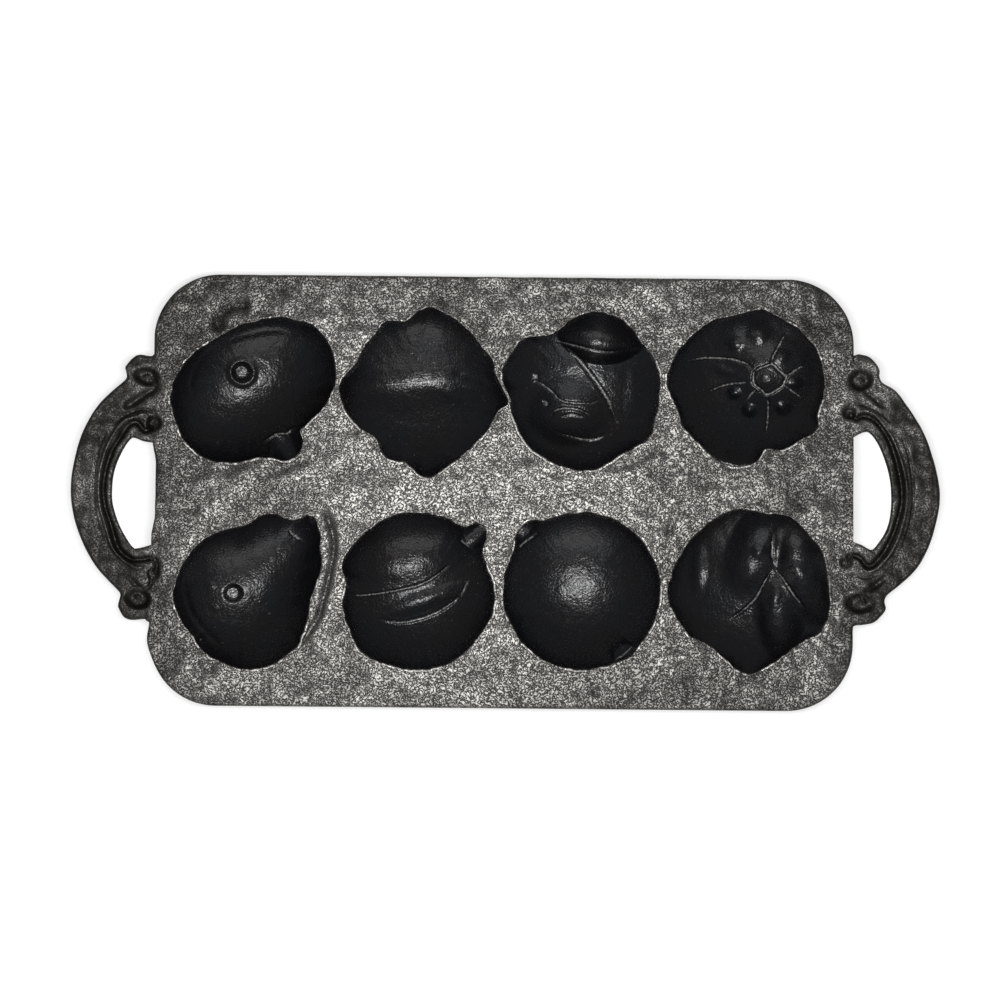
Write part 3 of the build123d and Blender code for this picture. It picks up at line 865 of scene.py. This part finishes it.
# The x of all these points is counted outwards from the middle of the pan, on the left as on the right
left_lines = (
    Line("154.5,28 156,26 158,25.8 160,28.2 162,29.3 165,27.5 168,23 172,16 174.5,8 175.3,0 174.6,-8 "
         "172,-15.5 169,-25 166,-29 162,-31.3 158,-31.3 154,-30.7 151.7,-32 151.3,-35 152.4,-37.6",
         1.15, -1.9, 0.02),
    Line("156,28.8 157.5,30.6 160,31.6 163,31 166.8,29.6 170.5,25 174.3,17.3 176.7,8 177.4,0 176.6,-8 "
         "174.2,-16 171,-26 167,-30.6 163,-33.6 160,-35 156.5,-34.4", 0.7, 1.0, 0.04),
    Line("151.5,31 154,33.6 158,34.9 162,34.2 167,32 171,28.4", 0.7, -0.8),
    Line("173.4,27 176.6,20 178.7,11 179.6,0 178.6,-11 176,-20 172.6,-27.4", 0.6, -0.4),
    Line("151.8,47.5 153.6,44.2 158.7,40.8 163.9,37.4 167.5,34.8", 1.7, -1.5, 0.2),
    Line("161.3,32.1 157.8,32.7 155.2,30.2", 0.6, 1.0),
    Line("153.5,-37 154,-42 156,-44 160,-42.5 166,-37", 0.9, -1.0),
)
left_dishes = (
    Dish(157, 49.2, 6.8, 4.8, 12, -2.6, 0.6),
    Dish(157.2, 49.6, 2.4, 1.4, -30, 0.7, 1.0),
    Dish(153.6, 28.8, 4.2, 4.0, 0, -2.3, 0.65),
    Dish(159.3, -48.6, 6.8, 5.2, 0, -2.7, 0.6),
    Dish(159.6, -47.4, 2.6, 1.5, 20, 0.9, 1.0),
    Dish(152.8, -37.6, 3.4, 3.2, 0, -1.2, 0.5),
)
left_handle = Handle(
    "left_scroll_handle",
    "left_handle",
    -1,
    "154,59.5 155.5,58.6 160.6,59.1 163.6,57.5 165.7,55 166.7,53.3 166,50.5 166.2,48.5 168.8,45.9 "
    "172.9,42.3 176.9,38.3 181,32.6 185.1,24.5 188.2,13.3 189.8,0 188.6,-11.2 185.3,-21.4 181,-30.1 "
    "177,-35.9 172.9,-40.3 168.8,-44.4 167.3,-46.4 167.5,-48.4 168.2,-51.5 167.5,-53.5 165.6,-56.5 "
    "162.6,-57.7 157,-57.3 155.5,-58.2 154,-59",
    "154,20.2 158,20.8 162,22.3 164,21.5 168,15 170.8,7 171.5,0 171.3,-6 170,-11 166,-20 162,-25.8 160,-26.3 "
    "154,-24.6",
    left_lines,
    left_dishes,
)
right_lines = (
    Line("152.2,36 155,33.6 158,34.9 162,33.9 166,30.5 170,24 173,15 175,5 175.2,-3 174,-9 172,-16 169,-22.5 "
         "166,-27 163.5,-30 161.5,-31 159.5,-30.5 157,-27.6 154,-26.6 151,-27.8", 1.15, -1.9, 0.02),
    Line("156,37.2 160,36.8 164,34.6 168,29.3 171.4,24 174.6,16 176.8,8 177.5,-1 176.3,-10 174.2,-17.4 "
         "171,-24.5 167.6,-29 163.8,-32.6 160,-33.6 157.6,-32", 0.7, 1.0, 0.04),
    Line("152,40.4 157,40 162,38.4 167,35.4 171,31", 0.7, -0.7),
    Line("174,27 177.4,20 179.4,11 180.2,0 179.2,-11 176.6,-20 173,-27.4", 0.6, -0.6),
    Line("158,46 161,44 165,40.8 169,37.6", 1.4, -1.2, 0.3),
    Line("158,-42 161,-41.6 165,-38.8 169.5,-35", 1.3, -1.1, 0.3),
    Line("152,-38 155,-35.6 160,-36.4 166,-34", 0.7, -0.6),
)
right_dishes = (
    Dish(157, 50.6, 6.6, 5.6, 20, -2.7, 0.6),
    Dish(157.2, 51, 2.0, 1.4, 0, 0.6, 1.0),
    Dish(152, 36.2, 3.9, 3.7, 0, -2.2, 0.65),
    Dish(157, -47.6, 8.0, 5.4, 0, -2.7, 0.6),
    Dish(158.4, -46.2, 3.0, 1.5, 120, 1.0, 1.0),
    Dish(151, -29.8, 3.4, 3.0, 0, -1.4, 0.5),
)
right_handle = Handle(
    "right_scroll_handle",
    "right_handle",
    1,
    "154,61.5 156,62.2 158,62 161,61 164,58 165.5,55 165.4,52.4 167,49.5 172.6,46 179.2,37.5 185.8,25.9 "
    "189.9,13.7 192.2,0 190.5,-12 187,-23 182,-32 175,-39 169.5,-43.5 168,-46.5 168.5,-50 166,-53.5 "
    "163,-56 158,-57 155.5,-57.2 154,-58",
    "154,25.3 156,26.6 159,27.8 161,27.5 164,24 168,15 170.3,5 170.6,-3 169,-14 165,-21 162,-24 158,-22 "
    "154,-20.5",
    right_lines,
    right_dishes,
)
handles = (left_handle, right_handle)


def iron_top(x, y):
    """Height of the top of the plate and the handles: the uneven deck with the scrolls sunk in its ends."""
    z = deck_swell(x, y)
    for handle in handles:
        end = handle.side * x > scroll_from
        out = np.abs(x[end])
        z[end] += lines_height(out, y[end], handle.lines) + dishes_height(out, y[end], handle.dishes)
    return z


def turned(points, angles):
    """Distance from the loop's middle to the line through the points, along each angle."""
    from_middle = points - (loop_x, 0)
    turns = np.arctan2(from_middle[:, 1], from_middle[:, 0])
    order = turns.argsort()
    smooth = spline(np.stack([turns[order], np.hypot(*from_middle[order].T)], 1), 12 * len(turns))
    order = smooth[:, 0].argsort()
    return np.interp(angles, smooth[order, 0], smooth[order, 1])


def handle_shell(handle):
    """A closed shell: for each angle about the loop's middle, a loop of points that runs over the top from
    the window to the outside, and back beneath. Its edges are rounded by quarter circles, except where it
    meets the plate."""
    outer, window = pairs(handle.outer), pairs(handle.window)
    top = np.arctan2(outer[0, 1], outer[0, 0] - loop_x)
    low = np.arctan2(outer[-1, 1], outer[-1, 0] - loop_x)
    angles = np.linspace(low, top, handle_spokes)
    plate = (plate_half_length - handle_gap - loop_x) / np.cos(angles)
    outside = np.maximum(turned(outer, angles), plate + handle_gap)
    window_top = np.arctan2(window[0, 1], window[0, 0] - loop_x)
    window_low = np.arctan2(window[-1, 1], window[-1, 0] - loop_x)
    open_there = (angles < window_top) & (angles > window_low)
    inside = np.where(open_there, np.maximum(turned(window, angles), plate), plate)
    t = np.linspace(0, 1, handle_across)[:, None]
    share = 0.35 * (0.5 - 0.5 * np.cos(np.pi * t)) + 0.65 * t
    radius = inside + share * (outside - inside)
    slope = np.gradient(outside, angles) / outside
    from_outside = (outside - radius) / np.hypot(1, slope)
    slope = np.gradient(inside, angles) / inside
    from_inside = np.where(open_there, (radius - inside) / np.hypot(1, slope), np.inf)
    near = np.clip(1 - np.minimum(from_outside, from_inside) / handle_bevel, 0, 1)
    bevel = handle_bevel * (1 - np.sqrt(1 - near**2))
    x, y = handle.side * (loop_x + radius * np.cos(angles)), radius * np.sin(angles)
    z = np.vstack([iron_top(x, y) - bevel, handle_under + bevel[::-3]])
    radius = np.vstack([radius, radius[::-3]])
    x, y = handle.side * (loop_x + radius * np.cos(angles)), radius * np.sin(angles)
    points = np.stack([x, y, z], -1).transpose(1, 0, 2)
    if handle.side > 0:
        points = points[:, ::-1]
    rings = len(z)
    quads = quad_grid(handle_spokes, rings, True)[:, ::-1]
    first, last = np.arange(rings), (handle_spokes - 1) * rings + np.arange(rings)
    corners = np.concatenate([quads.ravel(), first, last[::-1]])
    starts = np.concatenate([4 * np.arange(len(quads)), [4 * len(quads), 4 * len(quads) + rings]])
    return new_piece(handle.name, points.reshape(-1, 3), starts, corners)


def bare_iron(name, crack, depth, brownness):
    """Bare metal with the skin and its relief, as deep as the depth."""
    material = bpy.data.materials.new(name)
    tree = cleared(material)
    skin = iron_skin(tree, crack, brownness)
    relief = add_node(
        tree, "ShaderNodeBump", "Normal", {"Height": skin.relief, "Strength": 1.0, "Distance": depth}
    )
    shader = add_node(
        tree, "ShaderNodeBsdfPrincipled", "BSDF",
        {"Base Color": skin.tone, "Roughness": skin.rough, "Metallic": 1.0, "Normal": relief}
    )
    add_node(tree, "ShaderNodeOutputMaterial", None, {"Surface": shader})
    return material


# Bare cast iron that hands have rubbed: the net is finer and shallower, and a little rust makes it browner
handle_crack = 0.0011
handle_crack_depth = 0.0007
handle_brownness = 0.6
handle_iron = bare_iron("bare_cast_iron_handle", handle_crack, handle_crack_depth, handle_brownness)
for handle in handles:
    piece = handle_shell(handle)
    piece.data.materials.append(handle_iron)
    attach(piece, "root")
    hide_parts(handle.node)

# Plate
# The flat deck that carries the mouths of the eight cups, poured in one with them. Its top is bare iron,
# left rough by the sand, and brighter along the middle, partly worn and partly by painted light, with painted
# shade towards the rim and in its hollows. A curved stem is sunk above the orange, and shallow gullies run
# between the cups.
mouth_gap = 0.85
deck_rings = 24
underside_bevel = 1.0
handle_root = 59.0
most_of_web = 0.75
merge_fineness = 5000  # points in one 5000th of a millimetre become one
plate_lines = (
    Line("-126.6,69 -125.2,76 -121.8,79.7 -117.1,81 -111.2,80.6", 3.0, -2.0, 0.15),
    Line("-141,4 -130.7,7 -119.9,10.2 -109.9,13 -102,17", 3.0, -0.9, 0.3),
    Line("-112,5 -101.6,8.2 -89.8,11.8 -82,16", 2.6, -0.9, 0.3),
    Line("-79,-6 -76.6,-12 -74.2,-20 -73.8,-27 -75.4,-36 -77.6,-46 -80,-55 -85.5,-64 -93.6,-73",
         1.5, -1.5, 0.15),
    Line("82,-1 77.5,-7 74,-14 73,-22", 2.0, -0.8, 0.3),
    Line("40,11 50,11.6 59.4,14.5 66,19 69,26", 2.0, -0.8, 0.3),
    Line("-66,10 -56,9 -46,6.6 -38,6", 2.6, -0.6, 0.3),
    Line("0,4 10,8.4 20,8", 3.0, 0.5, 0.3),
)
plate_dishes = (
    Dish(12, 67.9, 3.2, 3.0, 0, -1.0, 0.8),
    Dish(80, -27, 4, 15, 8, -0.35, 1.0),
)


def plate_top(x, y):
    """Height of the deck with its grooves and dents."""
    return iron_top(x, y) + lines_height(x, y, plate_lines) + dishes_height(x, y, plate_dishes)


def joined(grids):
    """Grids of points, each (rings, spokes, 3) and closed round or not, as one set of points and quads, in
    which points at one place are one point."""
    points, quads, count = [], [], 0
    for grid, closed in grids:
        rings, spokes = grid.shape[:2]
        points.append(grid.reshape(-1, 3))
        quads.append(quad_grid(rings, spokes, closed) + count)
        count += rings * spokes
    points, quads = np.vstack(points), np.vstack(quads)
    key = np.round(points * merge_fineness).astype(np.int64)
    _, first, where = np.unique(key, axis=0, return_index=True, return_inverse=True)
    quads = where.reshape(-1)[quads]
    whole = (quads != np.roll(quads, 1, 1)).all(1)
    return points[first], quads[whole]


def end_shift(x, y):
    """How far the left end of the plate lies from a straight line: in by 1.4 mm between the roots of the
    handle, and out by 1.3 mm below them."""
    hollow_in = 1.4 * smooth_step((21 - np.abs(y)) / 10)
    return (hollow_in - 1.3 * np.exp(-(((y + 66) / 6) ** 2))) * smooth_step((-x - 141) / 10)


def plate_shell():
    """The deck as eight grids, each from the hole under a cup's lip out to the line round its cell along
    rays from the cup's middle, then the rounded edge of the plate, and eight flat grids beneath."""
    grids = []
    for cup in cups:
        loop = cell_loop(cup)
        from_middle = loop - cup.centre
        angles = np.arctan2(from_middle[:, 1], from_middle[:, 0])
        room = np.hypot(*from_middle.T)
        mouth = mouth_radius(cup, angles)
        mouth += np.minimum(mouth_gap, most_of_web * (room - mouth))
        hole = cup.centre + from_middle * (mouth / room)[:, None]
        v = np.linspace(0, 1, deck_rings)[:, None, None] ** 1.15
        ring = (1 - v) * hole + v * loop
        ring[..., 0] += end_shift(ring[..., 0], ring[..., 1])
        z = plate_top(ring[..., 0].ravel(), ring[..., 1].ravel()).reshape(ring.shape[:2])
        top = np.concatenate([ring, z[..., None]], -1)
        foot = np.concatenate([hole, np.full((len(hole), 1), plate_underside)], 1)
        rim = np.concatenate([ring[-1], np.full((len(loop), 1), plate_underside)], 1)
        grids.append((np.concatenate([foot[None], top]), True))
        grids.append((np.stack([rim, foot]), True))
    round_the_deck = (pumpkin, cabbage, acorn_squash, orange, pear, melon, apple, pepper)
    loop = np.vstack([rim_parts[cup.name][:-1] for cup in round_the_deck])
    straight = (end_x - corner_round, side_y - corner_round)
    core = np.clip(loop, np.negative(straight), straight)
    outward = (loop - core) / np.hypot(*(loop - core).T)[:, None]
    loop[:, 0] += end_shift(loop[:, 0], loop[:, 1])
    at_handle = (np.abs(loop[:, 0]) > end_x - 0.1) & (np.abs(loop[:, 1]) < handle_root)
    free = np.where(at_handle, 0.0, 1.0)
    turn = np.linspace(0, np.pi / 2, 6)
    rings = []
    for out, drop in zip(edge_round * np.sin(turn), edge_round * (1 - np.cos(turn))):
        rim = loop + outward * out
        rings.append(np.column_stack([rim, plate_top(rim[:, 0], rim[:, 1]) - drop * free]))
    for out, rise in ((edge_round, underside_bevel), (edge_round - underside_bevel, 0), (0, 0)):
        rings.append(np.column_stack([loop + outward * out, np.full(len(loop), plate_underside + rise)]))
    grids.append((np.stack(rings), True))
    points, quads = joined(grids)
    return new_piece("cast_deck", points, 4 * np.arange(len(quads)), quads.ravel())


plate_iron = bare_iron("bare_cast_iron_deck", crack_size, crack_depth, deck_brownness)
piece = plate_shell()
piece.data.materials.append(plate_iron)
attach(piece, "root")
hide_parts("top_plate")

# Floor
# A plain white studio sweep that the pan stands on. The camera and the iron see it as white, by a glow
# that only their rays meet, and the pan's shadow still falls on it.
floor_reach = 3.0
floor_glow = 0.6
corners = [(x * floor_reach, y * floor_reach, 0) for x, y in ((-1, -1), (1, -1), (1, 1), (-1, 1))]
floor_mesh = bpy.data.meshes.new("floor")
floor_mesh.from_pydata(corners, [], [(0, 1, 2, 3)])
floor = bpy.data.objects.new("floor", floor_mesh)
bpy.context.scene.collection.objects.link(floor)
white = bpy.data.materials.new("white_studio_floor")
tree = cleared(white)
rays = add_node(tree, "ShaderNodeLightPath").outputs
seen = rays["Is Camera Ray"]
for kind in ("Is Glossy Ray", "Is Transmission Ray"):
    seen = add_node(tree, "ShaderNodeMath", "Value", {0: seen, 1: rays[kind]}, operation="MAXIMUM")
paint = add_node(tree, "ShaderNodeBsdfDiffuse", "BSDF", {"Color": linear("E6E6E6")})
strength = add_node(tree, "ShaderNodeMath", "Value", {0: seen, 1: floor_glow}, operation="MULTIPLY")
glow = add_node(tree, "ShaderNodeEmission", "Emission", {"Color": (1, 1, 1, 1), "Strength": strength})
both = add_node(tree, "ShaderNodeAddShader", "Shader", {0: paint, 1: glow})
add_node(tree, "ShaderNodeOutputMaterial", None, {"Surface": both})
floor.data.materials.append(white)

# Light
# A soft box over the pan and a wide, weak one in front of it, in an evenly lit white room. The camera sees
# the room as plain white.
room_light = 0.16
world = bpy.data.worlds.new("studio")
bpy.context.scene.world = world
tree = cleared(world)
rays = add_node(tree, "ShaderNodeLightPath").outputs
room = add_node(tree, "ShaderNodeBackground", "Background", {"Color": (1, 1, 1, 1), "Strength": room_light})
backdrop = add_node(tree, "ShaderNodeBackground", "Background", {"Color": (1, 1, 1, 1), "Strength": 1.0})
shown = add_node(tree, "ShaderNodeMixShader", "Shader", {0: rays["Is Camera Ray"], 1: room, 2: backdrop})
add_node(tree, "ShaderNodeOutputWorld", None, {"Surface": shown})
for name, place, size, energy in (
    ("overhead_soft_box", (0.0, -0.05, 0.8), (0.3, 0.12), 4.4),
    ("front_soft_box", (0.0, -1.1, 0.8), (1.4, 0.6), 4.0),
):
    light = bpy.data.lights.new(name, "AREA")
    light.shape = "RECTANGLE"
    light.size, light.size_y = size
    light.energy = energy
    lamp = bpy.data.objects.new(name, light)
    lamp.location = place
    lamp.rotation_euler = Vector(place).to_track_quat("Z", "Y").to_euler()
    bpy.context.scene.collection.objects.link(lamp)

# Camera
# Over the pan, tipped four degrees towards the front row and turned by half a degree, as the photograph
# was taken. A long lens at 1.7 m gives its slight perspective.
camera_distance = 1.7
target = Vector((-0.00113, -0.00284, 0.013))
elevation = np.radians(86.0)
roll = np.radians(0.533)
view = bpy.data.cameras.new("camera")
view.lens = 138.45
view.clip_end = 20.0
camera = bpy.data.objects.new("camera", view)
away = Vector((0, -np.cos(elevation), np.sin(elevation)))
level_right = Vector((1, 0, 0))
right = level_right * np.cos(roll) + away.cross(level_right) * np.sin(roll)
up = away.cross(right)
turn = Matrix((right, up, away)).transposed().to_4x4()
camera.matrix_world = Matrix.Translation(target + away * camera_distance) @ turn
bpy.context.scene.collection.objects.link(camera)
bpy.context.scene.camera = camera
bpy.context.scene.view_settings.view_transform = "Standard"
